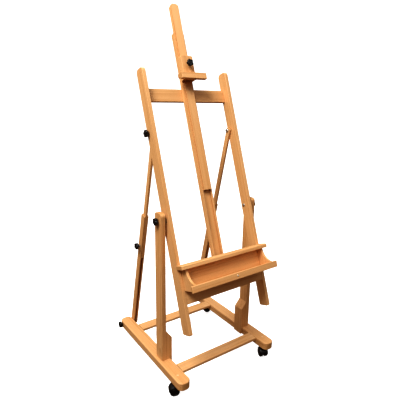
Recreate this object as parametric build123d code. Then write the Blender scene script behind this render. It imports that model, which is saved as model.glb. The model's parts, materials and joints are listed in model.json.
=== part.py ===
from build123d import *
import os
from math import atan2, cos, degrees, hypot, radians, sin

os.makedirs("parts", exist_ok=True)

# Millimetres. X runs to the right, Y to the back and Z up. The origin is on the floor
# under the middle of the easel. Every dimension below is a real size.

# Base: two long rails on swivel casters, joined by two flat crossbars.
BASE_WIDTH = 630
BASE_LENGTH = 695
BASE_FRONT = -334
FLOOR_GAP = 65
RAIL_WIDTH = 66
RAIL_HEIGHT = 40
RAIL_END_RADIUS = 28
RAIL_EDGE_RADIUS = 5
RAIL_TOP = FLOOR_GAP + RAIL_HEIGHT
RAIL_INNER_X = BASE_WIDTH / 2 - RAIL_WIDTH
CROSSBAR_WIDTH = 62
CROSSBAR_THICKNESS = 15
FRONT_CROSSBAR_Y = BASE_FRONT + 80
REAR_CROSSBAR_Y = BASE_FRONT + 515

# Uprights on the rails, each with a notched foot block on its inner side.
POST_OUTER_X = 297.7
POST_THICKNESS = 24
POST_DEPTH = 62
POST_Y = BASE_FRONT + 232
POST_TOP = 900
POST_CORNER_RADIUS = 16
FOOT_BLOCK_THICKNESS = 34.7
FOOT_BLOCK_HIGH = 268
FOOT_BLOCK_LOW = 227
FOOT_BLOCK_BOTTOM = 67

# Hardware shared by several places.
BOLT_RADIUS = 4
RUNNING_CLEARANCE = 0.05
FACE_GAP = 0.3
KNOB_LENGTH = 20
KNOB_HUB_LENGTH = 6
KNOB_BORE_DEPTH = 15

# Casters: hooded twin wheels on a grip stem. The wheels trail behind the stem.
CASTER_X = BASE_WIDTH / 2 - RAIL_WIDTH / 2
CASTER_INSET = 66
CASTER_TRAIL = 22
WHEEL_RADIUS = 25
WHEEL_WIDTH = 18
WHEEL_GAP = 9
AXLE_RADIUS = 3
STEM_RADIUS = 5.5
STEM_INSERTION = 32
CASTERS = {
    "front_left": (-1, BASE_FRONT + CASTER_INSET, 66),
    "front_right": (1, BASE_FRONT + CASTER_INSET, 158),
    "rear_left": (-1, BASE_FRONT + BASE_LENGTH - CASTER_INSET, 270),
    "rear_right": (1, BASE_FRONT + BASE_LENGTH - CASTER_INSET, 215),
}

# Tilting frame. Its own axes start at the tilt pivot: X as before, Y towards its back
# and Z up along it. Front is the plane of the rails' front faces.
LEAN = 19.6
PIVOT_Y = POST_Y
PIVOT_Z = 859
FRAME_HALF_WIDTH = 262.2
FRAME_RAIL_THICKNESS = 19
FRAME_INNER_X = FRAME_HALF_WIDTH - FRAME_RAIL_THICKNESS
FRAME_FRONT = -45
FRAME_BACK = 17
FRAME_FOOT = -558
FRAME_TOP = 742
LOWER_CROSSBAR_Z = (-412, -347)
UPPER_CROSSBAR_Z = (584, 649)
FRAME_CROSSBAR_THICKNESS = 19

# Fixed centre post: a back board with two rebated strips that hold the sliding mast.
CENTRE_POST_HALF_WIDTH = 31.6
CENTRE_POST_TOP = 940
CENTRE_POST_BACK = -2
GROOVE_FLOOR = -13.5
GUIDE_FRONT = -24
FLANGE_TOP = -18.3
MAST_HALF_WIDTH = 22.75
MAST_FLANGE = 2.9
MAST_FRONT = -33.2
MAST_BOTTOM = 114
MAST_TOP = 1094
MAST_KNOB_Z = 890
SLIDE_GAP = 0.35

# Canvas clamp on the mast.
CLAMP_HALF_WIDTH = 35.4
CLAMP_FRONT = -57
CLAMP_Z = (684, 808)
CLAMP_KNOB_Z = 762
CLAMP_KNOB_STANDOFF = 8
CLAMP_BAR_HALF_WIDTH = 74.5
CLAMP_BAR_FRONT = -97.5
CLAMP_BAR_Z = (674, 704)
CANVAS_SLOT_FRONT = -76

# Sliding tray: canvas ledge on top, trough with curved ends and a front lip below.
TRAY_BACK = FRAME_FRONT - 0.5
TRAY_BOARD = 12
TRAY_HALF_WIDTH = 246
TRAY_FLOOR_Z = (-345, -335)
LEDGE_HALF_WIDTH = 269.5
LEDGE_FRONT = -97
LEDGE_Z = (-241, -221)
LIP_HALF_WIDTH = 267.5
LIP_FRONT = -153
LIP_THICKNESS = 11
LIP_TOP = -313
TRAY_GUIDE_Z = (-300, -235)
TRAY_GUIDE_OUTER_X = 50
TRAY_PLATE_BACK = 8.5

# Telescoping struts from the rear of the base to the tilting frame.
STRUT_X = 235.5
STRUT_FOOT_Y = BASE_FRONT + 660
STRUT_FOOT_Z = 86
STRUT_EYE_Y = 4
STRUT_EYE_Z = 426
STRUT_OUTER_LENGTH = 750
STRUT_OUTER_DEPTH = 36
STRUT_OUTER_WIDTH = 26
STRUT_BAR_THICKNESS = 12.4
STRUT_BAR_LENGTH = 740
STRUT_BAR_FRONT = -17.5
STRUT_BAR_BACK = 10
STRUT_KNOB_AT = 560
STRUT_KNOB_STANDOFF = 10

EYE_Y = PIVOT_Y + STRUT_EYE_Z * sin(radians(LEAN)) + STRUT_EYE_Y * cos(radians(LEAN))
EYE_Z = PIVOT_Z + STRUT_EYE_Z * cos(radians(LEAN)) - STRUT_EYE_Y * sin(radians(LEAN))
STRUT_SPAN = hypot(STRUT_FOOT_Y - EYE_Y, EYE_Z - STRUT_FOOT_Z)
STRUT_LEAN = degrees(atan2(STRUT_FOOT_Y - EYE_Y, EYE_Z - STRUT_FOOT_Z))

FRAME_PLACE = Pos(0, PIVOT_Y, PIVOT_Z) * Rot(-LEAN, 0, 0)
SIDES = {"left": -1, "right": 1}


def board(x, y, z, easing=1.5):
    """A board between two limits on each axis, with all its edges eased."""
    middle = Pos(sum(x) / 2, sum(y) / 2, sum(z) / 2)
    block = Box(abs(x[1] - x[0]), abs(y[1] - y[0]), abs(z[1] - z[0]))
    if easing:
        block = fillet(block.edges(), easing)
    return middle * block


def rod_x(radius, x0, x1, y, z):
    """A round rod along X between two limits."""
    turned = Rot(0, 90, 0) * Cylinder(radius, abs(x1 - x0))
    return Pos((x0 + x1) / 2, y, z) * turned


def rod_y(radius, y0, y1, x, z):
    """A round rod along Y between two limits."""
    turned = Rot(90, 0, 0) * Cylinder(radius, abs(y1 - y0))
    return Pos(x, (y0 + y1) / 2, z) * turned


def rod_z(radius, z0, z1, x, y):
    """A round rod along Z between two limits."""
    return Pos(x, y, (z0 + z1) / 2) * Cylinder(radius, abs(z1 - z0))


def outward(side):
    """Turns a part that points up so that it points away from the middle on its side."""
    return Rot(0, 90 * side, 0)


def save(node, *solids):
    """Writes one node as STEP. Identical pieces share a node as separate solids."""
    shape = solids[0] if len(solids) == 1 else Compound(children=list(solids))
    export_step(shape, f"parts/{node}.step")


# ---------------------------------------------------------------- hardware


def star_knob(bore=KNOB_BORE_DEPTH):
    """Five-lobed clamping knob standing on the XY plane, with a blind bore for its bolt."""
    height = KNOB_LENGTH - KNOB_HUB_LENGTH
    head = Pos(0, 0, height / 2) * Cylinder(13, height)
    for lobe in range(5):
        head += Rot(0, 0, 72 * lobe) * Pos(12.5, 0, height / 2) * Cylinder(6.5, height)
    head = fillet(head.edges().filter_by(Axis.Z), 2.5)
    head = fillet(head.faces().sort_by(Axis.Z)[-1].edges(), 3)
    head = fillet(head.faces().sort_by(Axis.Z)[0].edges(), 1.5)
    hub = Pos(0, 0, KNOB_HUB_LENGTH / 2) * Cylinder(9, KNOB_HUB_LENGTH)
    knob = hub + Pos(0, 0, KNOB_HUB_LENGTH) * head
    knob -= Pos(0, 0, KNOB_LENGTH) * Cylinder(6, 2)
    if bore:
        knob -= Pos(0, 0, bore / 2) * Cylinder(BOLT_RADIUS + RUNNING_CLEARANCE, bore)
    return knob


def knob_with_stud(stud):
    """A star knob whose own threaded stud reaches down from it by the given length."""
    return star_knob(bore=0) + Pos(0, 0, -stud / 2 + 1) * Cylinder(BOLT_RADIUS, stud + 2)


def carriage_head():
    """Domed bolt head, flat side on the XY plane."""
    dome = Pos(0, 0, -11) * Sphere(15)
    return dome & Pos(0, 0, 5) * Cylinder(12, 10)


# ---------------------------------------------------------------- base


def base_rail(side):
    """A base rail with rounded ends and top, drilled for its casters and its strut's bolt."""
    rail = Box(RAIL_WIDTH, BASE_LENGTH, RAIL_HEIGHT)
    rail = fillet(rail.edges().filter_by(Axis.Z), RAIL_END_RADIUS)
    rail = fillet(rail.faces().sort_by(Axis.Z)[-1].edges(), RAIL_EDGE_RADIUS)
    rail = fillet(rail.faces().sort_by(Axis.Z)[0].edges(), 2)
    middle_y = BASE_FRONT + BASE_LENGTH / 2
    rail = Pos(side * CASTER_X, middle_y, FLOOR_GAP + RAIL_HEIGHT / 2) * rail
    for y in (BASE_FRONT + CASTER_INSET, BASE_FRONT + BASE_LENGTH - CASTER_INSET):
        top = FLOOR_GAP + STEM_INSERTION
        rail -= rod_z(STEM_RADIUS, FLOOR_GAP, top, side * CASTER_X, y)
    rail -= rod_x(BOLT_RADIUS, side * RAIL_INNER_X, side * BASE_WIDTH / 2, STRUT_FOOT_Y, STRUT_FOOT_Z)
    return rail - rail_plug(side)


def rail_plug(side):
    """Round wooden plug in the top of a rail near its front end."""
    return rod_z(6, RAIL_TOP - 7, RAIL_TOP + 0.6, side * (CASTER_X + 5), BASE_FRONT + 68)


def base_crossbar(front):
    """A flat crossbar between the rails, level with their tops."""
    span = (-RAIL_INNER_X, RAIL_INNER_X)
    rise = (RAIL_TOP - CROSSBAR_THICKNESS, RAIL_TOP)
    return board(span, (front, front + CROSSBAR_WIDTH), rise)


def post(side):
    """An upright with a rounded top, drilled for the tilt bolt."""
    body = Box(POST_THICKNESS, POST_DEPTH, POST_TOP - RAIL_TOP)
    top_edges = body.faces().sort_by(Axis.Z)[-1].edges().filter_by(Axis.X)
    body = fillet(top_edges, POST_CORNER_RADIUS)
    body = fillet(body.edges(), 1.5)
    x = side * (POST_OUTER_X - POST_THICKNESS / 2)
    body = Pos(x, POST_Y, (POST_TOP + RAIL_TOP) / 2) * body
    clearance_radius = BOLT_RADIUS + RUNNING_CLEARANCE
    return body - rod_x(clearance_radius, x - 20, x + 20, PIVOT_Y, PIVOT_Z)


def foot_block(side):
    """A sloped block on the inner side of an upright, lapped over the rail's inner face."""
    outer = POST_OUTER_X - POST_THICKNESS
    inner = outer - FOOT_BLOCK_THICKNESS
    outline = Polyline(
        (outer, RAIL_TOP),
        (outer, FOOT_BLOCK_HIGH),
        (inner, FOOT_BLOCK_LOW),
        (inner, FOOT_BLOCK_BOTTOM),
        (RAIL_INNER_X, FOOT_BLOCK_BOTTOM),
        (RAIL_INNER_X, RAIL_TOP),
        close=True,
    )
    profile = Plane.XZ * make_face(outline)
    block = extrude(profile, POST_DEPTH / 2, both=True)
    block = fillet(block.edges().filter_by(Axis.Z).sort_by(Axis.X)[:2], 2)
    block = Pos(0, POST_Y, 0) * block
    return block if side > 0 else mirror(block, Plane.YZ)


# ---------------------------------------------------------------- casters


def caster_stem(side, y):
    """Grip stem and its flange, fixed in the rail."""
    x = side * CASTER_X
    stem = rod_z(STEM_RADIUS, FLOOR_GAP - 12, FLOOR_GAP + STEM_INSERTION, x, y)
    return stem + rod_z(15, FLOOR_GAP - 2.5, FLOOR_GAP, x, y)


def caster_hood():
    """Swivelling body of a caster: a web between the wheels, a hood over them and a boss."""
    width = WHEEL_GAP + 2 * WHEEL_WIDTH
    reach = WHEEL_RADIUS + 4.5
    hood = rod_x(reach, -width / 2, width / 2, CASTER_TRAIL, WHEEL_RADIUS)
    hood -= rod_x(reach - 3, -width, width, CASTER_TRAIL, WHEEL_RADIUS)
    lower = Pos(0, CASTER_TRAIL, WHEEL_RADIUS) * Rot(-28, 0, 0) * Pos(0, 0, -reach - 2)
    hood -= lower * Box(2 * width, 4 * reach, 2 * reach)
    web = rod_x(reach - 1, -WHEEL_GAP / 2 + 1, WHEEL_GAP / 2 - 1, CASTER_TRAIL, WHEEL_RADIUS)
    web -= Pos(0, CASTER_TRAIL, -reach + 9) * Box(width, 4 * reach, 2 * reach)
    boss = rod_z(14, WHEEL_RADIUS, FLOOR_GAP - 2.8, 0, 0)
    boss -= rod_x(reach - 1.5, -width, width, CASTER_TRAIL, WHEEL_RADIUS)
    body = hood + web + boss
    body -= rod_z(STEM_RADIUS + RUNNING_CLEARANCE, FLOOR_GAP - 12.5, FLOOR_GAP, 0, 0)
    bore_radius = AXLE_RADIUS + RUNNING_CLEARANCE
    return body - rod_x(bore_radius, -width, width, CASTER_TRAIL, WHEEL_RADIUS)


def caster_wheel(side):
    """One wheel of a twin-wheel caster, with a rounded tread and a dished hub."""
    wheel = fillet(Cylinder(WHEEL_RADIUS, WHEEL_WIDTH).edges(), 4)
    wheel -= Pos(0, 0, WHEEL_WIDTH / 2) * Cylinder(15, 4)
    wheel -= Cylinder(AXLE_RADIUS, WHEEL_WIDTH * 2)
    x = side * (WHEEL_GAP + WHEEL_WIDTH) / 2
    return Pos(x, CASTER_TRAIL, WHEEL_RADIUS) * outward(side) * wheel


def caster_axle():
    """Axle pressed into both wheels of a caster."""
    reach = WHEEL_GAP / 2 + WHEEL_WIDTH - 4
    return rod_x(AXLE_RADIUS, -reach, reach, CASTER_TRAIL, WHEEL_RADIUS)


def save_casters():
    for name, (side, y, angle) in CASTERS.items():
        place = Pos(side * CASTER_X, y, 0) * Rot(0, 0, angle)
        save(f"caster_hood_{name}", place * caster_hood())
        save(f"caster_wheels_{name}", place * caster_wheel(-1), place * caster_wheel(1))
        save(f"caster_axle_{name}", place * caster_axle())


def save_base():
    for name, side in SIDES.items():
        save(f"base_rail_{name}", base_rail(side))
    save("posts", *[post(side) for side in SIDES.values()])
    save("foot_blocks", *[foot_block(side) for side in SIDES.values()])
    save("base_crossbars", *[base_crossbar(y) for y in (FRONT_CROSSBAR_Y, REAR_CROSSBAR_Y)])
    save("caster_stems", *[caster_stem(side, y) for side, y, angle in CASTERS.values()])
    save("rail_plugs", *[rail_plug(side) for side in SIDES.values()])


# ---------------------------------------------------------------- tilting frame


def frame_rail(side):
    """A side rail of the tilting frame, rounded at both ends and drilled for its bolts."""
    body = Box(FRAME_RAIL_THICKNESS, FRAME_BACK - FRAME_FRONT, FRAME_TOP - FRAME_FOOT)
    ends = body.edges().filter_by(Axis.X).sort_by(Axis.Z)
    body = fillet(ends[-2:], 20)
    body = fillet(body.edges().filter_by(Axis.X).sort_by(Axis.Z)[:2], 8)
    body = fillet(body.edges(), 1.5)
    x = side * (FRAME_HALF_WIDTH - FRAME_RAIL_THICKNESS / 2)
    body = Pos(x, (FRAME_FRONT + FRAME_BACK) / 2, (FRAME_TOP + FRAME_FOOT) / 2) * body
    body -= rod_x(BOLT_RADIUS, x - 20, x + 20, 0, 0)
    return body - rod_x(BOLT_RADIUS, x - 20, x + 20, STRUT_EYE_Y, STRUT_EYE_Z)


def frame_crossbar(front, rise):
    """A crossbar between the two frame rails."""
    span = (-FRAME_INNER_X, FRAME_INNER_X)
    return board(span, (front, front + FRAME_CROSSBAR_THICKNESS), rise)


def centre_post_board():
    """Back board of the centre post, with a rounded top."""
    height = CENTRE_POST_TOP - LOWER_CROSSBAR_Z[0]
    body = Box(2 * CENTRE_POST_HALF_WIDTH, CENTRE_POST_BACK - GROOVE_FLOOR, height)
    corners = body.faces().sort_by(Axis.Z)[-1].edges().filter_by(Axis.Y)
    body = fillet(corners, 6)
    middle_z = (CENTRE_POST_TOP + LOWER_CROSSBAR_Z[0]) / 2
    body = Pos(0, (GROOVE_FLOOR + CENTRE_POST_BACK) / 2, middle_z) * body
    hole_radius = BOLT_RADIUS + RUNNING_CLEARANCE
    return body - rod_y(hole_radius, GROOVE_FLOOR - 2, CENTRE_POST_BACK + 2, 0, MAST_KNOB_Z)


def mast_guide(side):
    """A strip of the centre post, rebated so that it keeps the mast's flange in."""
    rise = (LOWER_CROSSBAR_Z[0], CENTRE_POST_TOP)
    lip_inner = MAST_HALF_WIDTH + SLIDE_GAP
    flange_inner = MAST_HALF_WIDTH + MAST_FLANGE + SLIDE_GAP
    outer = CENTRE_POST_HALF_WIDTH
    lip = board((side * lip_inner, side * outer), (GUIDE_FRONT, FLANGE_TOP), rise, 0)
    wall = board((side * flange_inner, side * outer), (FLANGE_TOP, GROOVE_FLOOR), rise, 0)
    strip = lip + wall
    corner = strip.edges().filter_by(Axis.Y).sort_by(Axis.Z)[-1:]
    return fillet(corner, 3)


def tilt_bolt(side):
    """Bolt that the frame tilts on, from its inner face out through the upright."""
    end = POST_OUTER_X + FACE_GAP + KNOB_BORE_DEPTH - 1
    shaft = rod_x(BOLT_RADIUS, side * FRAME_INNER_X, side * end, 0, 0)
    head = Pos(side * FRAME_INNER_X, 0, 0) * outward(-side) * carriage_head()
    return shaft + head


def pivot_spacer(side):
    """Round spacer between a frame rail and its upright."""
    inner = side * FRAME_HALF_WIDTH
    outer = side * (POST_OUTER_X - POST_THICKNESS - FACE_GAP)
    return rod_x(20, inner, outer, 0, 0) - rod_x(BOLT_RADIUS, inner, outer, 0, 0)


def strut_top_bolt(side):
    """Bolt at the top of a strut, through the frame rail, ending beside the strut's eye."""
    inner = side * (FRAME_INNER_X - FACE_GAP)
    outer = side * (FRAME_HALF_WIDTH + FACE_GAP + KNOB_BORE_DEPTH - 1)
    return rod_x(BOLT_RADIUS, inner, outer, STRUT_EYE_Y, STRUT_EYE_Z)


def save_tilting_frame():
    for name, side in SIDES.items():
        save(f"frame_rail_{name}", FRAME_PLACE * frame_rail(side))
        face = side * (POST_OUTER_X + FACE_GAP)
        knob = Pos(face, 0, 0) * outward(side) * star_knob()
        save(f"tilt_knob_{name}", FRAME_PLACE * knob)
        face = side * (FRAME_HALF_WIDTH + FACE_GAP)
        knob = Pos(face, STRUT_EYE_Y, STRUT_EYE_Z) * outward(side) * star_knob()
        save(f"strut_top_knob_{name}", FRAME_PLACE * knob)
    upper = frame_crossbar(CENTRE_POST_BACK, UPPER_CROSSBAR_Z)
    lower = frame_crossbar(GUIDE_FRONT - FRAME_CROSSBAR_THICKNESS, LOWER_CROSSBAR_Z)
    save("frame_crossbar_upper", FRAME_PLACE * upper)
    save("frame_crossbar_lower", FRAME_PLACE * lower)
    save("centre_post_board", FRAME_PLACE * centre_post_board())
    save("mast_guides", *[FRAME_PLACE * mast_guide(side) for side in SIDES.values()])
    save("tilt_bolts", *[FRAME_PLACE * tilt_bolt(side) for side in SIDES.values()])
    save("pivot_spacers", *[FRAME_PLACE * pivot_spacer(side) for side in SIDES.values()])
    save("strut_top_bolts", *[FRAME_PLACE * strut_top_bolt(side) for side in SIDES.values()])


# ---------------------------------------------------------------- mast and clamp


def mast():
    """Sliding mast: a flanged section with a groove in each side for the clamp."""
    depth = FLANGE_TOP - MAST_FRONT
    height = MAST_TOP - MAST_BOTTOM
    body = Box(2 * MAST_HALF_WIDTH, depth, height)
    corners = body.faces().sort_by(Axis.Z)[-1].edges().filter_by(Axis.Y)
    body = fillet(corners, 14)
    middle_z = (MAST_TOP + MAST_BOTTOM) / 2
    body = Pos(0, (FLANGE_TOP + MAST_FRONT) / 2, middle_z) * body
    reach = MAST_HALF_WIDTH + MAST_FLANGE
    top = MAST_TOP - 14
    flange = board((-reach, reach), (FLANGE_TOP + SLIDE_GAP, GROOVE_FLOOR - SLIDE_GAP), (MAST_BOTTOM, top), 0)
    neck_reach = MAST_HALF_WIDTH
    neck = board((-neck_reach, neck_reach), (FLANGE_TOP, FLANGE_TOP + SLIDE_GAP), (MAST_BOTTOM, top), 0)
    body = body + neck + flange
    for side in SIDES.values():
        groove_x = (side * (MAST_HALF_WIDTH - 3), side * (MAST_HALF_WIDTH + 1))
        body -= board(groove_x, (-31.2, -27.8), (MAST_BOTTOM - 1, MAST_TOP + 1), 0)
    return body


def mast_knob():
    """Knob behind the centre post whose stud presses on the mast."""
    stud = CENTRE_POST_BACK + FACE_GAP - GROOVE_FLOOR
    place = Pos(0, CENTRE_POST_BACK + FACE_GAP, MAST_KNOB_Z) * Rot(-90, 0, 0)
    return place * knob_with_stud(stud)


def clamp_block():
    """Front block of the canvas clamp, drilled for its knob."""
    body = Box(2 * CLAMP_HALF_WIDTH, MAST_FRONT - FACE_GAP - CLAMP_FRONT, CLAMP_Z[1] - CLAMP_Z[0])
    corners = body.faces().sort_by(Axis.Z)[-1].edges().filter_by(Axis.Y)
    body = fillet(corners, 8)
    body = Pos(0, (MAST_FRONT - FACE_GAP + CLAMP_FRONT) / 2, sum(CLAMP_Z) / 2) * body
    body = fillet(body.faces().sort_by(Axis.Y)[0].edges(), 2)
    hole_radius = BOLT_RADIUS + RUNNING_CLEARANCE
    return body - rod_y(hole_radius, CLAMP_FRONT - 2, MAST_FRONT, 0, CLAMP_KNOB_Z)


def clamp_cheek(side):
    """Side cheek of the clamp, with a tongue that runs in the mast's groove."""
    inner = MAST_HALF_WIDTH + SLIDE_GAP
    back = GUIDE_FRONT - FACE_GAP
    rise = (CLAMP_Z[0], CLAMP_Z[1] - 8)
    cheek = board((side * inner, side * CLAMP_HALF_WIDTH), (MAST_FRONT - FACE_GAP, back), rise, 0)
    tongue_x = (side * (MAST_HALF_WIDTH - 2.6), side * inner)
    return cheek + board(tongue_x, (-30.8, -28.2), rise, 0)


def clamp_bar():
    """Bar across the clamp whose rebate and lip hold a canvas by its top edge."""
    span = (-CLAMP_BAR_HALF_WIDTH, CLAMP_BAR_HALF_WIDTH)
    bar = board(span, (CLAMP_BAR_FRONT, CLAMP_FRONT), CLAMP_BAR_Z, 1.5)
    rebate_x = (-CLAMP_BAR_HALF_WIDTH - 1, CLAMP_BAR_HALF_WIDTH + 1)
    return bar - board(rebate_x, (CANVAS_SLOT_FRONT, CLAMP_FRONT + 1), (CLAMP_BAR_Z[0] - 1, CLAMP_Z[0]), 0)


def clamp_knob():
    """Knob on the front of the clamp whose stud presses on the mast."""
    base = CLAMP_FRONT - CLAMP_KNOB_STANDOFF
    stud = MAST_FRONT - base - 0.2
    return Pos(0, base, CLAMP_KNOB_Z) * Rot(90, 0, 0) * knob_with_stud(stud)


def save_mast_and_clamp():
    save("mast", FRAME_PLACE * mast())
    save("mast_knob", FRAME_PLACE * mast_knob())
    save("clamp_block", FRAME_PLACE * clamp_block())
    save("clamp_cheeks", *[FRAME_PLACE * clamp_cheek(side) for side in SIDES.values()])
    save("clamp_bar", FRAME_PLACE * clamp_bar())
    save("clamp_knob", FRAME_PLACE * clamp_knob())


# ---------------------------------------------------------------- tray


def canvas_ledge():
    """Ledge that the canvas stands on, rounder along its upper front edge."""
    span = (-LEDGE_HALF_WIDTH, LEDGE_HALF_WIDTH)
    ledge = board(span, (LEDGE_FRONT, TRAY_BACK), LEDGE_Z, 0)
    front_top = ledge.faces().sort_by(Axis.Z)[-1].edges().sort_by(Axis.Y)[0]
    ledge = fillet(front_top, 5)
    return fillet(ledge.edges(), 2)


def tray_end(side):
    """An end board of the tray, with a hollow curve from the ledge down to the lip."""
    top = LEDGE_Z[0]
    bottom = TRAY_FLOOR_Z[0]
    front = LIP_FRONT + LIP_THICKNESS
    curve_top = (TRAY_BACK - 40, top)
    curve_end = (front, LIP_TOP)
    outline = Line((TRAY_BACK, bottom), (TRAY_BACK, top))
    outline += Line((TRAY_BACK, top), curve_top)
    outline += RadiusArc(curve_top, curve_end, 75)
    outline += Line(curve_end, (front, bottom))
    outline += Line((front, bottom), (TRAY_BACK, bottom))
    profile = Plane.YZ * make_face(outline)
    outer = side * TRAY_HALF_WIDTH
    return Pos(outer, 0, 0) * extrude(profile, -side * TRAY_BOARD)


def tray_lip_screw():
    """Round screw head in the middle of the lip."""
    return Pos(0, LIP_FRONT, (LIP_TOP + TRAY_FLOOR_Z[0]) / 2) * Rot(90, 0, 0) * (
        Pos(0, 0, -3) * Sphere(5) & Pos(0, 0, 1) * Cylinder(6, 2)
    )


def tray_guide(side):
    """Block beside the centre post that keeps the tray square on it."""
    inner = CENTRE_POST_HALF_WIDTH + 0.4
    depth = (TRAY_BACK, CENTRE_POST_BACK + 0.5)
    return board((side * inner, side * TRAY_GUIDE_OUTER_X), depth, TRAY_GUIDE_Z, 0)


def tray_plate():
    """Plate behind the centre post that joins the guides and carries the tray knob."""
    span = (-TRAY_GUIDE_OUTER_X, TRAY_GUIDE_OUTER_X)
    depth = (CENTRE_POST_BACK + 0.5, TRAY_PLATE_BACK)
    plate = board(span, depth, TRAY_GUIDE_Z, 1)
    hole_radius = BOLT_RADIUS + RUNNING_CLEARANCE
    return plate - rod_y(hole_radius, -10, 20, 0, sum(TRAY_GUIDE_Z) / 2)


def tray_knob():
    """Knob behind the tray whose stud presses on the centre post."""
    base = TRAY_PLATE_BACK + FACE_GAP
    stud = base - CENTRE_POST_BACK - 0.2
    return Pos(0, base, sum(TRAY_GUIDE_Z) / 2) * Rot(-90, 0, 0) * knob_with_stud(stud)


def save_tray():
    inside = TRAY_HALF_WIDTH - TRAY_BOARD
    floor_top = TRAY_FLOOR_Z[1]
    back = board((-inside, inside), (TRAY_BACK - TRAY_BOARD, TRAY_BACK), (floor_top, LEDGE_Z[0]), 0)
    floor = board((-inside, inside), (LIP_FRONT + LIP_THICKNESS, TRAY_BACK), TRAY_FLOOR_Z, 0)
    lip_y = (LIP_FRONT, LIP_FRONT + LIP_THICKNESS)
    lip = board((-LIP_HALF_WIDTH, LIP_HALF_WIDTH), lip_y, (TRAY_FLOOR_Z[0], LIP_TOP), 2.5)
    save("canvas_ledge", FRAME_PLACE * canvas_ledge())
    save("tray_back", FRAME_PLACE * back)
    save("tray_floor", FRAME_PLACE * floor)
    save("tray_lip", FRAME_PLACE * lip)
    save("tray_lip_screw", FRAME_PLACE * tray_lip_screw())
    save("tray_ends", *[FRAME_PLACE * tray_end(side) for side in SIDES.values()])
    save("tray_guides", *[FRAME_PLACE * tray_guide(side) for side in SIDES.values()])
    save("tray_plate", FRAME_PLACE * tray_plate())
    save("tray_knob", FRAME_PLACE * tray_knob())


# ---------------------------------------------------------------- struts


def strut_foot_bolt(side):
    """Bolt that a strut swings on, from its inner side out through the rail."""
    inner = STRUT_X - STRUT_OUTER_WIDTH / 2 - FACE_GAP
    outer = BASE_WIDTH / 2 + FACE_GAP + KNOB_BORE_DEPTH - 1
    shaft = rod_x(BOLT_RADIUS, side * inner, side * outer, STRUT_FOOT_Y, STRUT_FOOT_Z)
    head = Pos(side * inner, STRUT_FOOT_Y, STRUT_FOOT_Z) * outward(-side) * carriage_head()
    return shaft + head


def strut_cheek(side, which):
    """One side strip of a strut's channel. It is round at its foot, and which is 1 outside."""
    width = (STRUT_OUTER_WIDTH - STRUT_BAR_THICKNESS) / 2 - 0.4
    half = STRUT_OUTER_DEPTH / 2
    body = Pos(0, 0, (STRUT_OUTER_LENGTH - half) / 2) * Box(width, 2 * half, STRUT_OUTER_LENGTH + half)
    body = fillet(body.faces().sort_by(Axis.Z)[0].edges().filter_by(Axis.X), half - 0.5)
    body = fillet(body.faces().sort_by(Axis.Z)[-1].edges().filter_by(Axis.X), 5)
    body = fillet(body.edges(), 1)
    offset = side * which * (STRUT_OUTER_WIDTH - width) / 2
    hole_radius = BOLT_RADIUS + RUNNING_CLEARANCE
    body -= rod_x(hole_radius, -20, 20, 0, 0)
    if which > 0:
        body -= rod_x(hole_radius, -20, 20, (STRUT_BAR_FRONT + STRUT_BAR_BACK) / 2, STRUT_KNOB_AT)
    return Pos(offset, 0, 0) * body


def strut_spine():
    """Back strip of a strut's channel."""
    half_gap = STRUT_BAR_THICKNESS / 2 + 0.4
    return board((-half_gap, half_gap), (STRUT_BAR_BACK + 0.5, 18), (25, STRUT_OUTER_LENGTH - 1), 0)


def strut_bar():
    """Sliding inner bar of a strut, with a round eye end."""
    bottom = STRUT_SPAN - STRUT_BAR_LENGTH + 14
    top = STRUT_SPAN + 14
    half = STRUT_BAR_THICKNESS / 2
    body = board((-half, half), (STRUT_BAR_FRONT, STRUT_BAR_BACK), (bottom, top), 0)
    body = fillet(body.faces().sort_by(Axis.Z)[-1].edges().filter_by(Axis.X), 10)
    body = fillet(body.edges().filter_by(Axis.Z), 1)
    return body - rod_x(BOLT_RADIUS, -half, half, 0, STRUT_SPAN)


def strut_top_nut(side):
    """Bolt end, washer and nut on a strut's eye."""
    half = STRUT_BAR_THICKNESS / 2
    inner = -side * half
    end = rod_x(BOLT_RADIUS, side * (half - 0.2), inner - side * 9, 0, STRUT_SPAN)
    washer = rod_x(9, inner, inner - side * 1.6, 0, STRUT_SPAN)
    nut = Rot(0, 90, 0) * extrude(RegularPolygon(7.5, 6), 3.2, both=True)
    return end + washer + Pos(inner - side * 4.8, 0, STRUT_SPAN) * nut


def strut_lock_knob(side):
    """Knob beside the channel's outer cheek whose stud presses on the bar."""
    face = STRUT_OUTER_WIDTH / 2 + STRUT_KNOB_STANDOFF
    stud = face - STRUT_BAR_THICKNESS / 2 - 0.2
    y = (STRUT_BAR_FRONT + STRUT_BAR_BACK) / 2
    return Pos(side * face, y, STRUT_KNOB_AT) * outward(side) * knob_with_stud(stud)


def strut_foot_knob(side):
    """Knob on the outer face of a rail, on the end of the strut's bolt."""
    face = side * (BASE_WIDTH / 2 + FACE_GAP)
    return Pos(face, STRUT_FOOT_Y, STRUT_FOOT_Z) * outward(side) * star_knob()


def save_struts():
    save("strut_foot_bolts", *[strut_foot_bolt(side) for side in SIDES.values()])
    for name, side in SIDES.items():
        place = Pos(side * STRUT_X, STRUT_FOOT_Y, STRUT_FOOT_Z) * Rot(STRUT_LEAN, 0, 0)
        save(f"strut_cheeks_{name}", place * strut_cheek(side, 1), place * strut_cheek(side, -1))
        save(f"strut_spine_{name}", place * strut_spine())
        save(f"strut_bar_{name}", place * strut_bar())
        save(f"strut_top_nut_{name}", place * strut_top_nut(side))
        save(f"strut_lock_knob_{name}", place * strut_lock_knob(side))
        save(f"strut_foot_knob_{name}", strut_foot_knob(side))


save_base()
save_casters()
save_tilting_frame()
save_mast_and_clamp()
save_tray()
save_struts()
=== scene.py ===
"""Looks of a wooden H-frame studio easel: oiled beech boards, black star knobs, zinc-plated
bolts and twin-wheel casters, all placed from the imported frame."""

import json
import random
from math import cos, pi, radians, sin, tau

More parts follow.
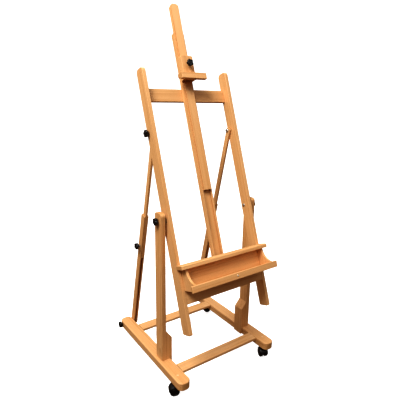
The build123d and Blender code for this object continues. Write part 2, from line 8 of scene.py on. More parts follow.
import bmesh
import bpy
from mathutils import Matrix, Vector


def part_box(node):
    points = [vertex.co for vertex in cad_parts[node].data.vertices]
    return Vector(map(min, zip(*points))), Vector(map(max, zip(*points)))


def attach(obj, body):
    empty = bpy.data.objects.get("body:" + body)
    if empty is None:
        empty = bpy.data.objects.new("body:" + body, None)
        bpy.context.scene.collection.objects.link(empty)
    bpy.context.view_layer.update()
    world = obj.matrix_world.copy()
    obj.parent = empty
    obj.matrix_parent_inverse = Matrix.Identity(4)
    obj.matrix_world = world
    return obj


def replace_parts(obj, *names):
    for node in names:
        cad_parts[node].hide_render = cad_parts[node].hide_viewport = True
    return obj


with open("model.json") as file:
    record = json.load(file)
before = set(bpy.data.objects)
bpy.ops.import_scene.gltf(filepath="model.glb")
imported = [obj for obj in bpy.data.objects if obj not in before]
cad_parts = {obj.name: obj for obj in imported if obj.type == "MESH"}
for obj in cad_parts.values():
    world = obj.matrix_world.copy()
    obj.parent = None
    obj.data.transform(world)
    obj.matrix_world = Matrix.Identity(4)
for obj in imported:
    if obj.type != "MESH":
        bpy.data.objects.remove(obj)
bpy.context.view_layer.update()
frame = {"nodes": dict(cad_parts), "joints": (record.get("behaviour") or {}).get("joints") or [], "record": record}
NODES = frame["nodes"]
JOINTS = {joint["name"]: joint for joint in frame["joints"]}
BODY_OF = {
    node: body
    for body, nodes in frame["record"]["behaviour"]["bodies"].items()
    for node in nodes
}

MM = 0.001
ALONG_X = Vector((1, 0, 0))
ALONG_Y = Vector((0, 1, 0))
ALONG_Z = Vector((0, 0, 1))
UP_FRAME = Vector(JOINTS["mast_slide"]["axis"]).normalized()
UP_STRUT = Vector(JOINTS["strut_slide_left"]["axis"]).normalized()
SIDES = ("left", "right")
CORNERS = ("front_left", "front_right", "rear_left", "rear_right")

# Boards by the direction of their grain.
BOARDS = (
    (ALONG_X, ("base_crossbars", "frame_crossbar_upper", "frame_crossbar_lower", "clamp_bar")),
    (ALONG_X, ("canvas_ledge", "tray_back", "tray_floor", "tray_lip", "tray_plate")),
    (ALONG_Y, ("base_rail_left", "base_rail_right")),
    (ALONG_Z, ("posts", "foot_blocks")),
    (UP_FRAME, ("frame_rail_left", "frame_rail_right", "centre_post_board", "mast_guides")),
    (UP_FRAME, ("mast", "clamp_block", "clamp_cheeks", "tray_ends", "tray_guides")),
    (UP_STRUT, ("strut_cheeks_left", "strut_cheeks_right", "strut_spine_left")),
    (UP_STRUT, ("strut_spine_right", "strut_bar_left", "strut_bar_right")),
)

# Beech, oiled and a little yellowed.
EARLY_WOOD = (0.75, 0.440, 0.205, 1)
LATE_WOOD = (0.55, 0.268, 0.090, 1)
RAY_FLECK = (0.34, 0.140, 0.036, 1)
END_GRAIN = (0.50, 0.265, 0.100, 1)
WORN_EDGE = (0.76, 0.470, 0.235, 1)
PLUG_WOOD = (0.80, 0.540, 0.300, 1)
WARM_TINT = (0.90, 0.80, 0.66, 1)
# Painted shade that darkens the wood in its joints and tight corners.
JOINT_PAINTED_SHADE = (0.50, 0.36, 0.24, 1)
RING_SPACING = 3.4 * MM

# Black plastics, each from its darker to its lighter mottling.
KNOB_BLACKS = ((0.004, 0.004, 0.0045, 1), (0.009, 0.009, 0.010, 1))
HOOD_BLACKS = ((0.005, 0.005, 0.0055, 1), (0.011, 0.011, 0.012, 1))
SPACER_BLACKS = ((0.016, 0.016, 0.016, 1), (0.030, 0.030, 0.030, 1))
RUBBED_PLASTIC = (0.045, 0.045, 0.047, 1)
DUST = (0.06, 0.055, 0.05, 1)
TREAD_DARK = (0.004, 0.004, 0.0045, 1)
TREAD_LIGHT = (0.009, 0.009, 0.0095, 1)
TREAD_ROLLED = (0.028, 0.027, 0.026, 1)

# Zinc plating.
ZINC_GREY = (0.60, 0.60, 0.58, 1)
ZINC_YELLOW = (0.74, 0.72, 0.66, 1)
# Painted shade that darkens the zinc in its crevices and tight corners.
ZINC_PAINTED_SHADE = (0.20, 0.18, 0.16, 1)

# Studio: light near the floor and overhead, the key light, and the sizes of floor and backdrop.
LOW_SKY = (0.10, 0.060, 0.035, 1)
HIGH_SKY = (0.76, 0.75, 0.73, 1)
FLOOR_DARK = (0.88, 0.88, 0.88, 1)
FLOOR_LIGHT = (0.92, 0.92, 0.92, 1)
FLOOR_HALF_SIZE = 60
BACKDROP_RADIUS = 50
KEY_PLACE = (-1.85, -0.80, 3.50)
KEY_TARGET = (0, 0, 1)
KEY_SIZE = 1.5
KEY_POWER = 94

# Camera, in metres and degrees.
CAMERA_PLACE = (-1.1434, -1.6344, 1.4240)
CAMERA_YAW = -35.42
CAMERA_PITCH = 14.71
CAMERA_ROLL = 0.97
CAMERA_LENS = 34.55

# Moulded star knob.
KNOB_LENGTH = 20 * MM
KNOB_HUB_LENGTH = 6 * MM
KNOB_HUB_RADIUS = 9 * MM
KNOB_LOBES = 5
KNOB_LOBE_RADIUS = 18.8 * MM
KNOB_VALLEY_RADIUS = 15.2 * MM
KNOB_STEPS = 120
KNOB_SPIN_STEP = 0.7
STUD_RADIUS = 3.95 * MM
THREAD_PITCH = 1.25 * MM
THREAD_DEPTH = 0.65 * MM

# Twin-wheel caster.
WHEEL_RADIUS = 25 * MM
WHEEL_WIDTH = 18 * MM
WHEEL_GAP = 9 * MM
HOOD_RADIUS = 29.5 * MM
HOOD_THICKNESS = 3 * MM
HOOD_START = 4
HOOD_END = 150
ROUND_STEPS = 72


# ---------------------------------------------------------------- shader helpers


def new_material(name):
    """A material and its node tree, with the shader's node."""
    material = bpy.data.materials.new(name)
    material.use_nodes = True
    tree = material.node_tree
    return material, tree, tree.nodes["Principled BSDF"]


def put(tree, socket, value):
    """Links a socket to another, or sets its value."""
    if isinstance(value, bpy.types.NodeSocket):
        tree.links.new(value, socket)
    else:
        socket.default_value = value


def add(tree, kind, inputs=None, **settings):
    """A new node with its settings and inputs."""
    node = tree.nodes.new(kind)
    for key, value in settings.items():
        setattr(node, key, value)
    for key, value in (inputs or {}).items():
        put(tree, node.inputs[key], value)
    return node


def calc(tree, operation, a, b=0.0, clamp=False):
    """The output of a Math node."""
    node = add(tree, "ShaderNodeMath", {0: a, 1: b}, operation=operation, use_clamp=clamp)
    return node.outputs[0]


def vector_calc(tree, operation, a, b, output=0):
    """The output of a Vector Math node."""
    return add(tree, "ShaderNodeVectorMath", {0: a, 1: b}, operation=operation).outputs[output]


def ramp(tree, value, low, high, to_low=0.0, to_high=1.0):
    """A value carried from one range to another, smoothly and clamped."""
    inputs = {"Value": value, "From Min": low, "From Max": high, "To Min": to_low, "To Max": to_high}
    return add(tree, "ShaderNodeMapRange", inputs, interpolation_type="SMOOTHSTEP").outputs[0]


def mix(tree, share, a, b, blend="MIX"):
    """Two colours mixed."""
    node = add(tree, "ShaderNodeMix", data_type="RGBA", blend_type=blend)
    put(tree, node.inputs[0], share)
    put(tree, node.inputs[6], a)
    put(tree, node.inputs[7], b)
    return node.outputs[2]


def stretched(tree, vector, scale):
    """Coordinates multiplied by a scale on each axis."""
    return vector_calc(tree, "MULTIPLY", vector, scale)


def noise(tree, vector, detail=3.0, roughness=0.5, scale=1.0):
    """Noise from 0 to 1."""
    inputs = {"Vector": vector, "Scale": scale, "Detail": detail, "Roughness": roughness}
    return add(tree, "ShaderNodeTexNoise", inputs).outputs[0]


def edges(tree, radius):
    """1 on edges and corners, 0 on open faces."""
    bevel = add(tree, "ShaderNodeBevel", {"Radius": radius}, samples=4).outputs[0]
    normal = add(tree, "ShaderNodeNewGeometry").outputs["Normal"]
    facing = vector_calc(tree, "DOT_PRODUCT", bevel, normal, output="Value")
    return ramp(tree, facing, 0.995, 0.90)


def crevices(tree, distance):
    """1 in tight corners and joints, 0 in the open."""
    open_share = add(tree, "ShaderNodeAmbientOcclusion", {"Distance": distance}, samples=4).outputs[1]
    return ramp(tree, open_share, 0.75, 0.25)


def bumped(tree, shader, height, strength, distance):
    """Gives the shader a bump."""
    inputs = {"Height": height, "Strength": strength, "Distance": distance}
    put(tree, shader.inputs["Normal"], add(tree, "ShaderNodeBump", inputs).outputs[0])


# ---------------------------------------------------------------- materials


def beech(name, grain, centre, seed):
    """Oiled beech: growth rings round a pith outside the board, fibre streaks, short ray flecks,
    darker end grain, paler worn edges and painted shade in the joints and corners."""
    chance = random.Random(seed)
    material, tree, shader = new_material(name)
    place = add(tree, "ShaderNodeTexCoord")

    # Coordinates with Z along the grain and the pith on the Z axis.
    turn = grain.rotation_difference(ALONG_Z)
    side = chance.uniform(0, tau)
    reach = chance.uniform(35, 75) * MM
    pith = Vector((reach * cos(side), reach * sin(side), chance.uniform(-3, 3)))
    shift = pith - turn @ centre
    mapping = {"Vector": place.outputs["Object"], "Rotation": turn.to_euler(), "Location": shift}
    along = add(tree, "ShaderNodeMapping", mapping).outputs[0]

    # Growth rings, bent slowly along the board.
    warp = noise(tree, stretched(tree, along, (9, 9, 1.6)), detail=2)
    flat = stretched(tree, along, (1, 1, 0))
    radius = vector_calc(tree, "LENGTH", flat, (0, 0, 0), output="Value")
    taper = calc(tree, "MULTIPLY", add(tree, "ShaderNodeSeparateXYZ", {0: along}).outputs[2], 0.012)
    bent = calc(tree, "ADD", calc(tree, "MULTIPLY", warp, 30 * MM), taper)
    phase = calc(tree, "DIVIDE", calc(tree, "ADD", radius, bent), RING_SPACING)
    saw = calc(tree, "POWER", calc(tree, "FRACT", phase), 2.5)
    depth = noise(tree, stretched(tree, along, (60, 60, 1.5)), detail=1)
    rings = calc(tree, "MULTIPLY", saw, ramp(tree, depth, 0.3, 0.75, 0.15, 0.9))

    # Fibres, and the short dark flecks of the rays.
    fibre = noise(tree, stretched(tree, along, (1400, 1400, 22)), detail=4, roughness=0.6)
    cells = add(
        tree,
        "ShaderNodeTexVoronoi",
        {"Vector": stretched(tree, along, (620, 620, 150)), "Scale": 1.0},
    ).outputs["Distance"]
    fleck = ramp(tree, cells, 0.30, 0.12)

    # Slow changes of tone along the board.
    slow = noise(tree, stretched(tree, along, (10, 10, 1.1)), detail=3)
    streak = noise(tree, stretched(tree, along, (110, 110, 1.8)), detail=3)

    colour = mix(tree, rings, EARLY_WOOD, LATE_WOOD)
    colour = mix(tree, ramp(tree, streak, 0.45, 0.75, 0, 0.6), colour, LATE_WOOD)
    colour = mix(tree, calc(tree, "MULTIPLY", fleck, 0.45), colour, RAY_FLECK)
    shade = calc(tree, "MULTIPLY_ADD", fibre, 0.16)
    shade.node.inputs[2].default_value = chance.uniform(0.89, 0.99)
    tone = add(tree, "ShaderNodeCombineColor", {0: shade, 1: shade, 2: shade}).outputs[0]
    colour = mix(tree, 1.0, colour, tone, "MULTIPLY")
    warmth = ramp(tree, slow, 0.3, 0.7, 0.0, 0.5)
    colour = mix(tree, warmth, colour, WARM_TINT, "MULTIPLY")

    # End grain, worn edges and painted shade in the joints.
    facing = vector_calc(tree, "DOT_PRODUCT", place.outputs["Normal"], grain, output="Value")
    ends = ramp(tree, calc(tree, "ABSOLUTE", facing), 0.75, 0.95)
    end_colour = mix(tree, rings, END_GRAIN, LATE_WOOD)
    colour = mix(tree, calc(tree, "MULTIPLY", ends, 0.85), colour, end_colour)
    rub = noise(tree, stretched(tree, along, (40, 40, 14)), detail=4)
    worn = calc(tree, "MULTIPLY", edges(tree, 1.8 * MM), ramp(tree, rub, 0.4, 0.65, 0.1, 0.6))
    colour = mix(tree, worn, colour, WORN_EDGE)
    # Painted shade: the wood is darkened in tight corners and joints, where shade falls.
    joint_shade = calc(tree, "MULTIPLY", crevices(tree, 9 * MM), 0.55)
    colour = mix(tree, joint_shade, colour, JOINT_PAINTED_SHADE, "MULTIPLY")
    put(tree, shader.inputs["Base Color"], colour)

    gloss = calc(tree, "ADD", calc(tree, "MULTIPLY", fibre, 0.12), calc(tree, "MULTIPLY", ends, 0.15))
    uneven = ramp(tree, slow, 0.3, 0.7, 0.36, 0.44)
    put(tree, shader.inputs["Roughness"], calc(tree, "ADD", gloss, uneven))
    relief = calc(tree, "ADD", fibre, calc(tree, "MULTIPLY", rings, 0.4))
    relief = calc(tree, "SUBTRACT", relief, calc(tree, "MULTIPLY", fleck, 0.5))
    bumped(tree, shader, relief, 0.35, 0.15 * MM)
    shader.inputs["Specular IOR Level"].default_value = 0.35
    shader.inputs["Coat Weight"].default_value = 0.06
    shader.inputs["Coat Roughness"].default_value = 0.30
    return material


def plug_wood():
    """Pale turned plug with a small swirl of grain."""
    material, tree, shader = new_material("plug_wood")
    place = add(tree, "ShaderNodeTexCoord").outputs["Object"]
    fibre = noise(tree, stretched(tree, place, (900, 120, 900)), detail=4)
    colour = mix(tree, ramp(tree, fibre, 0.35, 0.7), PLUG_WOOD, EARLY_WOOD)
    # Painted shade: the plug is darkened towards late wood in its crevices and round its rim.
    colour = mix(tree, crevices(tree, 3 * MM), colour, LATE_WOOD)
    put(tree, shader.inputs["Base Color"], colour)
    put(tree, shader.inputs["Roughness"], ramp(tree, fibre, 0.2, 0.8, 0.34, 0.5))
    bumped(tree, shader, fibre, 0.3, 0.1 * MM)
    return material


def moulded_plastic(name, blacks, roughness, grain):
    """Black moulded plastic: faint mottling, a fine skin, rubbed edges and settled dust."""
    material, tree, shader = new_material(name)
    place = add(tree, "ShaderNodeTexCoord")
    skin = noise(tree, place.outputs["Object"], detail=2, scale=grain)
    mottle = noise(tree, place.outputs["Object"], detail=4, scale=90)
    colour = mix(tree, ramp(tree, mottle, 0.35, 0.7), *blacks)
    rubbed = calc(tree, "MULTIPLY", edges(tree, 0.8 * MM), ramp(tree, mottle, 0.4, 0.6, 0.1, 0.6))
    colour = mix(tree, rubbed, colour, RUBBED_PLASTIC)
    dust = calc(tree, "MULTIPLY", crevices(tree, 4 * MM), ramp(tree, mottle, 0.45, 0.7, 0.0, 0.35))
    colour = mix(tree, dust, colour, DUST)
    put(tree, shader.inputs["Base Color"], colour)
    uneven = ramp(tree, mottle, 0.3, 0.7, *roughness)
    put(tree, shader.inputs["Roughness"], calc(tree, "ADD", uneven, calc(tree, "MULTIPLY", rubbed, 0.2)))
    bumped(tree, shader, skin, 0.12, 0.08 * MM)
    return material


def wheel_tread():
    """Black nylon wheel: greyed where it rolls, with fine turning marks round the axle."""
    material, tree, shader = new_material("caster_tread")
    place = add(tree, "ShaderNodeTexCoord").outputs["Object"]
    disc = stretched(tree, place, (0, 1, 1))
    radius = vector_calc(tree, "LENGTH", disc, (0, 0, 0), output="Value")
    rolling = ramp(tree, radius, WHEEL_RADIUS - 1.5 * MM, WHEEL_RADIUS)
    specks = noise(tree, place, detail=5, scale=420, roughness=0.65)
    turning = add(tree, "ShaderNodeCombineXYZ", {0: calc(tree, "MULTIPLY", radius, 2500)})
    marks = noise(tree, turning.outputs[0])
    grey = calc(tree, "MULTIPLY", rolling, ramp(tree, specks, 0.35, 0.7, 0.15, 0.75))
    colour = mix(tree, ramp(tree, specks, 0.3, 0.8), TREAD_DARK, TREAD_LIGHT)
    colour = mix(tree, grey, colour, TREAD_ROLLED)
    put(tree, shader.inputs["Base Color"], colour)
    put(tree, shader.inputs["Roughness"], calc(tree, "ADD", calc(tree, "MULTIPLY", grey, 0.3), 0.34))
    pitted = calc(tree, "MULTIPLY", specks, rolling)
    relief = calc(tree, "ADD", calc(tree, "MULTIPLY", marks, 0.6), pitted)
    bumped(tree, shader, relief, 0.2, 0.1 * MM)
    return material


def zinc_steel():
    """Zinc-plated steel: a crystalline, slightly yellow bloom with fine scratches."""
    material, tree, shader = new_material("zinc_steel")
    place = add(tree, "ShaderNodeTexCoord").outputs["Object"]
    bloom = noise(tree, place, detail=4, scale=260)
    scratch = noise(tree, stretched(tree, place, (2600, 2600, 90)), detail=2)
    colour = mix(tree, ramp(tree, bloom, 0.3, 0.7), ZINC_GREY, ZINC_YELLOW)
    # Painted shade: the zinc is darkened in crevices and tight corners, where shade falls.
    zinc_crevice_shade = calc(tree, "MULTIPLY", crevices(tree, 3 * MM), 0.7)
    colour = mix(tree, zinc_crevice_shade, colour, ZINC_PAINTED_SHADE)
    put(tree, shader.inputs["Base Color"], colour)
    put(tree, shader.inputs["Roughness"], ramp(tree, scratch, 0.3, 0.7, 0.22, 0.42))
    bumped(tree, shader, scratch, 0.1, 0.05 * MM)
    shader.inputs["Metallic"].default_value = 1.0
    return material


def white_backdrop():
    """Evenly lit white, with the slightest mottling."""
    material = bpy.data.materials.new("studio_backdrop")
    material.use_nodes = True
    tree = material.node_tree
    tree.nodes.clear()
    place = add(tree, "ShaderNodeTexCoord").outputs["Object"]
    mottle = noise(tree, place, detail=1, scale=0.05)
    colour = mix(tree, mottle, (0.99, 0.99, 0.99, 1), (1, 1, 1, 1))
    glow = add(tree, "ShaderNodeEmission", {"Color": colour})
    end = add(tree, "ShaderNodeOutputMaterial")
    put(tree, end.inputs["Surface"], glow.outputs[0])
    return material


def pale_floor():
    """Matt studio floor with the slightest mottling, lit a little from below like a light table."""
    material, tree, shader = new_material("studio_floor")
    place = add(tree, "ShaderNodeTexCoord").outputs["Object"]
    mottle = noise(tree, place, detail=3, scale=2)
    put(tree, shader.inputs["Base Color"], mix(tree, mottle, FLOOR_DARK, FLOOR_LIGHT))
    shader.inputs["Roughness"].default_value = 0.7
    shader.inputs["Specular IOR Level"].default_value = 0.1
    shader.inputs["Emission Color"].default_value = (1, 1, 1, 1)
    shader.inputs["Emission Strength"].default_value = 0.55
    return material


def wear(obj, material):
    """Gives a piece its one material."""
    obj.data.materials.clear()
    obj.data.materials.append(material)
    return obj


# ---------------------------------------------------------------- mesh helpers


def rings_mesh(name, rings, closed=False):
    """A skin over rings of points. Unless closed on itself, it ends in a cap at each end."""
    mesh = bmesh.new()
    loops = [[mesh.verts.new(point) for point in ring] for ring in rings]
    count = len(loops[0])
    pairs = list(zip(loops, loops[1:]))
    if closed:
        pairs.append((loops[-1], loops[0]))
    for a, b in pairs:
        for i in range(count):
            j = (i + 1) % count
            mesh.faces.new((a[i], a[j], b[j], b[i]))
    if not closed:
        mesh.faces.new(list(reversed(loops[0])))
        mesh.faces.new(loops[-1])
    bmesh.ops.recalc_face_normals(mesh, faces=mesh.faces)
    return finish_mesh(name, mesh)


def finish_mesh(name, mesh, sharp=35):
    """A scene object from a bmesh, smooth except over sharp edges."""
    data = bpy.data.meshes.new(name)
    mesh.to_mesh(data)
    mesh.free()
    for face in data.polygons:
        face.use_smooth = True
    data.set_sharp_from_angle(angle=radians(sharp))
    obj = bpy.data.objects.new(name, data)
    bpy.context.scene.collection.objects.link(obj)
    return obj


def lathe(name, profile, steps=ROUND_STEPS, closed=False):
    """A profile of (radius, height) points turned about Z."""
    turns = [tau * i / steps for i in range(steps)]
    rings = [[(r * cos(t), r * sin(t), z) for t in turns] for r, z in profile]
    return rings_mesh(name, rings, closed)


def join(name, objects):
    """Several meshes as one object."""
    mesh = bmesh.new()
    for obj in objects:
        copy = obj.data.copy()
        copy.transform(obj.matrix_world)
        mesh.from_mesh(copy)
        bpy.data.meshes.remove(copy)
    for obj in objects:
        bpy.data.objects.remove(obj)
    return finish_mesh(name, mesh)


def stand(obj, origin, axis, spin=0.0):
    """Places a piece made about Z so that it stands at origin along axis."""
    turn = ALONG_Z.rotation_difference(Vector(axis)).to_matrix().to_4x4()
    obj.matrix_world = Matrix.Translation(origin) @ turn @ Matrix.Rotation(spin, 4, "Z")
    bpy.context.view_layer.update()
    return obj


def arc(centre, radius, start, end, steps):
    """Points of an arc about (radius, height) centre, between two angles in degrees."""
    angles = [radians(start + (end - start) * i / steps) for i in range(steps + 1)]
    return [(centre[0] + radius * cos(a), centre[1] + radius * sin(a)) for a in angles]


# ---------------------------------------------------------------- knobs


def lobed_radius(angle):
    """Outline of the knob's head: round lobes with wider hollows between them."""
    swell = 0.5 + 0.5 * cos(KNOB_LOBES * angle)
    return KNOB_VALLEY_RADIUS + (KNOB_LOBE_RADIUS - KNOB_VALLEY_RADIUS) * swell**0.8


def lobed_ring(inset, height):
    """A ring that follows the head's outline, drawn in by inset."""
    points = []
    for i in range(KNOB_STEPS):
        angle = tau * i / KNOB_STEPS
        radius = lobed_radius(angle) - inset
        points.append((radius * cos(angle), radius * sin(angle), height))
    return points


def round_ring(radius, height):
    """A circular ring with as many points as a lobed one."""
    turns = [tau * i / KNOB_STEPS for i in range(KNOB_STEPS)]
    return [(radius * cos(t), radius * sin(t), height) for t in turns]


def mixed_ring(share, inset, radius, height):
    """A ring part way from the lobed outline to a circle."""
    lobed = lobed_ring(inset, height)
    circle = round_ring(radius, height)
    return [Vector(a).lerp(Vector(b), share) for a, b in zip(lobed, circle)]


def knob_head():
    """Hub, lobed head with rounded rims, dished top, and the cap that closes the bore."""
    foot = KNOB_HUB_LENGTH
    top = KNOB_LENGTH
    hub = KNOB_HUB_RADIUS
    rings = [round_ring(hub - 1.2 * MM, 0), round_ring(hub - 0.3 * MM, 0.3 * MM)]
    rings += [round_ring(hub, 1.2 * MM), round_ring(hub, foot - 1 * MM)]
    rings += [round_ring(hub + 0.3 * MM, foot - 0.3 * MM), round_ring(hub + 1 * MM, foot)]
    rings.append(lobed_ring(2.2 * MM, foot))
    for step in range(1, 5):
        angle = radians(90 * step / 4)
        rings.append(lobed_ring(2 * MM * (1 - sin(angle)), foot + 2 * MM * (1 - cos(angle))))
    rings.append(lobed_ring(0, foot + 7 * MM))
    for step in range(1, 8):
        angle = radians(90 * step / 7)
        rings.append(lobed_ring(3.5 * MM * (1 - cos(angle)), top - 3.5 * MM * (1 - sin(angle))))
    rings.append(mixed_ring(0.25, 5.5 * MM, 10 * MM, top - 0.35 * MM))
    rings.append(mixed_ring(0.7, 6.5 * MM, 8.6 * MM, top - 1.0 * MM))
    rings.append(round_ring(7.4 * MM, top - 1.3 * MM))
    rings += [round_ring(7.0 * MM, top - 1.9 * MM), round_ring(6.5 * MM, top - 1.9 * MM)]
    rings += [round_ring(6.3 * MM, top - 1.2 * MM), round_ring(5.9 * MM, top - 0.9 * MM)]
    rings += [round_ring(3.5 * MM, top - 0.55 * MM), round_ring(0.6 * MM, top - 0.45 * MM)]
    return rings_mesh("knob_head", rings)


def threaded_stud(length):
    """Stud that reaches down from the knob, with its thread."""
    turns = round(length / THREAD_PITCH)
    profile = [(STUD_RADIUS - THREAD_DEPTH, -length)]
    for turn in range(turns):
        foot = -length + turn * THREAD_PITCH
        profile.append((STUD_RADIUS - THREAD_DEPTH, foot + 0.15 * THREAD_PITCH))
        profile.append((STUD_RADIUS, foot + 0.50 * THREAD_PITCH))
        profile.append((STUD_RADIUS, foot + 0.62 * THREAD_PITCH))
    profile.append((STUD_RADIUS - THREAD_DEPTH, 1 * MM))
    return lathe("stud", profile, steps=32)


def star_knob(node, joint_name, spin, plastic, steel):
    """Knob that turns on its joint, standing out along the joint's axis."""
    joint = JOINTS[joint_name]
    pivot = Vector(joint["pos_m"])
    axis = Vector(joint["axis"]).normalized()
    reach = [(vertex.co - pivot).dot(axis) for vertex in NODES[node].data.vertices]
    foot = pivot + axis * (max(reach) - KNOB_LENGTH)
    stud_length = max(reach) - KNOB_LENGTH - min(reach)
    knob = wear(stand(knob_head(), foot, axis, spin), plastic)
    knob.name = node + "_moulding"
    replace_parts(knob, node)
    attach(knob, BODY_OF[node])
    if stud_length > 1 * MM:
        stud = wear(stand(threaded_stud(stud_length), foot, axis), steel)
        stud.name = node + "_stud"
        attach(stud, BODY_OF[node])


def make_knobs(plastic, steel):
    knobs = [(name, f"{name}_turn") for name in ("mast_knob", "clamp_knob", "tray_knob")]
    for side in SIDES:
        knobs.append((f"tilt_knob_{side}", f"tilt_knob_turn_{side}"))
        knobs.append((f"strut_top_knob_{side}", f"strut_top_knob_turn_{side}"))
        knobs.append((f"strut_lock_knob_{side}", f"strut_lock_turn_{side}"))
        knobs.append((f"strut_foot_knob_{side}", f"strut_foot_knob_turn_{side}"))
    for place, (node, joint_name) in enumerate(knobs):
        star_knob(node, joint_name, KNOB_SPIN_STEP * place, plastic, steel)


# ---------------------------------------------------------------- casters


def wheel_profile():
    """Half section of a wheel from its inner face to its outer one, as (radius, height)."""
    half = WHEEL_WIDTH / 2
    shoulder = 4 * MM
    rim = WHEEL_RADIUS - shoulder
    profile = [(3.05 * MM, -half), (rim - 2 * MM, -half)]
    profile += arc((rim, -half + shoulder), shoulder, -90, 0, 8)
    profile += arc((rim, half - shoulder), shoulder, 0, 90, 8)
    profile += [(rim - 1.2 * MM, half), (rim - 1.8 * MM, half - 0.5 * MM)]
    profile += [(rim - 2.6 * MM, half - 2.2 * MM), (rim - 3.4 * MM, half - 2.6 * MM)]
    profile += [(12.5 * MM, half - 2.2 * MM), (12.0 * MM, half - 1.5 * MM)]
    profile += [(9.0 * MM, half - 0.9 * MM), (5.0 * MM, half - 0.45 * MM)]
    profile += [(1.2 * MM, half - 0.3 * MM), (0.4 * MM, half - 0.3 * MM)]
    return profile


def caster_wheels(corner, tread):
    """Both wheels of a caster."""
    joint = JOINTS[f"caster_spin_{corner}"]
    centre = Vector(joint["pos_m"])
    axis = Vector(joint["axis"]).normalized()
    offset = (WHEEL_GAP + WHEEL_WIDTH) / 2
    halves = []
    for way in (-1, 1):
        wheel = lathe("wheel", wheel_profile())
        upright = Matrix.Rotation(way * pi / 2, 4, "Y")
        wheel.matrix_world = Matrix.Translation((way * offset, 0, 0)) @ upright
        halves.append(wheel)
    bpy.context.view_layer.update()
    pair = join(f"caster_wheels_{corner}_turned", halves)
    pair.matrix_world = Matrix.Translation(centre) @ heading(axis)
    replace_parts(wear(pair, tread), f"caster_wheels_{corner}")
    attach(pair, BODY_OF[f"caster_wheels_{corner}"])


def heading(axle):
    """Turn about Z that carries X onto the axle."""
    return ALONG_X.rotation_difference(axle).to_matrix().to_4x4()


def hood_section():
    """Section of the hood's shell across the wheels, as (across, radius): crowned, with round edges."""
    half = WHEEL_GAP / 2 + WHEEL_WIDTH
    outer = HOOD_RADIUS
    edge = 1.4 * MM
    crown = 1.2 * MM
    upper = []
    for step in range(-6, 7):
        share = step / 6
        upper.append((share * (half - edge), outer - crown * share**4))
    right = [(half - 0.3 * MM, outer - crown - 0.6 * MM), (half, outer - crown - edge)]
    right += [(half - 0.4 * MM, outer - HOOD_THICKNESS)]
    left = [(-x, r) for x, r in reversed(right)]
    lower = [(share * (half - 2 * MM) / 3, outer - HOOD_THICKNESS) for share in range(3, -4, -1)]
    return upper + right + lower + left


def hood_shell():
    """Hood swept round the axle from low behind the wheels to over their front."""
    section = hood_section()
    centre = sum(r for _, r in section) / len(section)
    steps = 36
    rings = []
    for step in range(-2, steps + 3):
        inside = min(max(step, 0), steps)
        past = abs(step - inside)
        angle = radians(HOOD_START + (HOOD_END - HOOD_START) * inside / steps)
        slide = (0, 0.9, 1.4)[past] * MM * (1 if step > steps / 2 else -1)
        shrink = (1, 0.8, 0.35)[past]
        ring = []
        for across, radius in section:
            r = centre + (radius - centre) * shrink
            x = across * (1 - (1 - shrink) * 0.06)
            ring.append((x, r * cos(angle) - slide * sin(angle), r * sin(angle) + slide * cos(angle)))
        rings.append(ring)
    return rings_mesh("hood_shell", rings)


def hood_boss(height):
    """Boss that holds the stem, with a step and a rounded rim."""
    profile = [(10 * MM, 0), (13.2 * MM, 0.5 * MM)]
    profile += [(13.9 * MM, height * 0.45), (13.9 * MM, height - 3.4 * MM)]
    profile += arc((12.4 * MM, height - 1.5 * MM), 1.5 * MM, 0, 90, 5)
    profile += [(9 * MM, height), (8.4 * MM, height - 0.5 * MM), (6.2 * MM, height - 0.6 * MM)]
    return lathe("hood_boss", profile, steps=48)


def hood_web():
    """Plate between the two wheels, from the boss down to the axle."""
    half = WHEEL_GAP / 2 - 1.2 * MM
    ease = 0.8 * MM
    reach = HOOD_RADIUS - HOOD_THICKNESS / 2
    outline = arc((0, 0), reach, HOOD_START, HOOD_END, 30)
    outline += arc((0, 0), 8 * MM, 200, 340, 12)
    rings = []
    for x, shrink in ((-half, ease), (-half + ease, 0), (half - ease, 0), (half, ease)):
        ring = []
        for y, z in outline:
            point = Vector((0, y, z))
            ring.append(point - point.normalized() * shrink + ALONG_X * x)
        rings.append(ring)
    return rings_mesh("hood_web", rings)


def caster_hood(corner, plastic):
    """Hood of one caster, turned to where its wheels trail."""
    node = f"caster_hood_{corner}"
    spin = JOINTS[f"caster_spin_{corner}"]
    swivel = JOINTS[f"caster_swivel_{corner}"]
    centre = Vector(spin["pos_m"])
    stem = Vector(swivel["pos_m"])
    away = Vector((centre.x - stem.x, centre.y - stem.y, 0)).normalized()
    axle = away.cross(ALONG_Z)
    turn = heading(axle)
    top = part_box(node)[1].z
    shell = hood_shell()
    web = hood_web()
    shell.matrix_world = Matrix.Translation(centre) @ turn
    web.matrix_world = Matrix.Translation(centre) @ turn
    base = centre.z + 12 * MM
    boss = hood_boss(top - base)
    boss.matrix_world = Matrix.Translation((stem.x, stem.y, base))
    bpy.context.view_layer.update()
    hood = join(node + "_moulding", [shell, web, boss])
    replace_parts(wear(hood, plastic), node)
    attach(hood, BODY_OF[node])


# ---------------------------------------------------------------- the easel


def dress_boards():
    """Beech for every board, each cut from its own part of the tree."""
    for grain, names in BOARDS:
        for name in names:
            low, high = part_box(name)
            wear(NODES[name], beech(f"beech_{name}", grain, (low + high) / 2, name))


def dress_hardware(steel, spacer):
    for name in ("tilt_bolts", "strut_top_bolts", "strut_foot_bolts", "tray_lip_screw", "caster_stems"):
        wear(NODES[name], steel)
    for side in SIDES:
        wear(NODES[f"strut_top_nut_{side}"], steel)
    for corner in CORNERS:
        wear(NODES[f"caster_axle_{corner}"], steel)
    wear(NODES["pivot_spacers"], spacer)
    wear(NODES["rail_plugs"], plug_wood())


# ---------------------------------------------------------------- studio


def make_floor():
    mesh = bmesh.new()
    bmesh.ops.create_grid(mesh, x_segments=8, y_segments=8, size=FLOOR_HALF_SIZE)
    floor = finish_mesh("floor", mesh)
    wear(floor, pale_floor())
    floor.visible_diffuse = False
    floor.visible_glossy = False


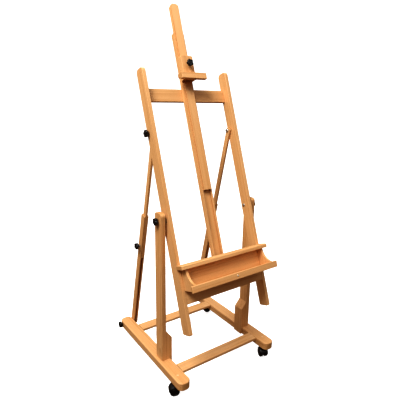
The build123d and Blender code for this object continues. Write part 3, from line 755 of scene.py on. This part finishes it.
def make_backdrop():
    """White dome that only the camera sees, so that it casts no light of its own."""
    mesh = bmesh.new()
    bmesh.ops.create_uvsphere(mesh, u_segments=48, v_segments=24, radius=BACKDROP_RADIUS)
    dome = finish_mesh("backdrop", mesh)
    wear(dome, white_backdrop())
    dome.visible_diffuse = False
    dome.visible_glossy = False
    dome.visible_transmission = False
    dome.visible_shadow = False


def make_sky():
    """Light that comes mostly from above and falls off towards the floor."""
    world = bpy.data.worlds.new("studio")
    bpy.context.scene.world = world
    world.use_nodes = True
    tree = world.node_tree
    background = tree.nodes["Background"]
    direction = add(tree, "ShaderNodeTexCoord").outputs["Generated"]
    height = add(tree, "ShaderNodeSeparateXYZ", {0: direction}).outputs[2]
    share = ramp(tree, height, 0.05, 0.95)
    put(tree, background.inputs["Color"], mix(tree, share, LOW_SKY, HIGH_SKY))
    background.inputs["Strength"].default_value = 1.0


def soft_light(name, place, target, size, power):
    light = bpy.data.lights.new(name, "AREA")
    light.shape = "DISK"
    light.size = size
    light.energy = power
    lamp = bpy.data.objects.new(name, light)
    bpy.context.scene.collection.objects.link(lamp)
    lamp.location = place
    lamp.rotation_mode = "QUATERNION"
    lamp.rotation_quaternion = (Vector(target) - Vector(place)).to_track_quat("-Z", "Y")


def make_camera():
    """Camera to the front left, a little below the clamp, looking slightly down."""
    camera = bpy.data.objects.new("camera", bpy.data.cameras.new("camera"))
    bpy.context.scene.collection.objects.link(camera)
    camera.data.sensor_width = 36
    camera.data.lens = CAMERA_LENS
    yaw, pitch, roll = radians(CAMERA_YAW), radians(CAMERA_PITCH), radians(CAMERA_ROLL)
    back = Vector((sin(yaw) * cos(pitch), -cos(yaw) * cos(pitch), sin(pitch)))
    right = (-back).cross(ALONG_Z).normalized()
    up = back.cross(right)
    tilted_right = right * cos(roll) + up * sin(roll)
    tilted_up = up * cos(roll) - right * sin(roll)
    turn = Matrix((tilted_right, tilted_up, back)).transposed()
    camera.matrix_world = Matrix.Translation(CAMERA_PLACE) @ turn.to_4x4()
    camera.data.clip_end = 200
    bpy.context.scene.camera = camera


def make_studio():
    make_floor()
    make_backdrop()
    make_sky()
    soft_light("key", KEY_PLACE, KEY_TARGET, KEY_SIZE, KEY_POWER)
    bpy.context.scene.view_settings.view_transform = "Standard"
    bpy.context.scene.view_settings.look = "High Contrast"
    make_camera()


def main():
    steel = zinc_steel()
    knob_plastic = moulded_plastic("knob_plastic", KNOB_BLACKS, (0.20, 0.30), 1500)
    hood_plastic = moulded_plastic("caster_plastic", HOOD_BLACKS, (0.32, 0.44), 2200)
    spacer_plastic = moulded_plastic("spacer_plastic", SPACER_BLACKS, (0.45, 0.60), 1800)
    dress_boards()
    dress_hardware(steel, spacer_plastic)
    make_knobs(knob_plastic, steel)
    tread = wheel_tread()
    for corner in CORNERS:
        caster_wheels(corner, tread)
        caster_hood(corner, hood_plastic)
    make_studio()


main()
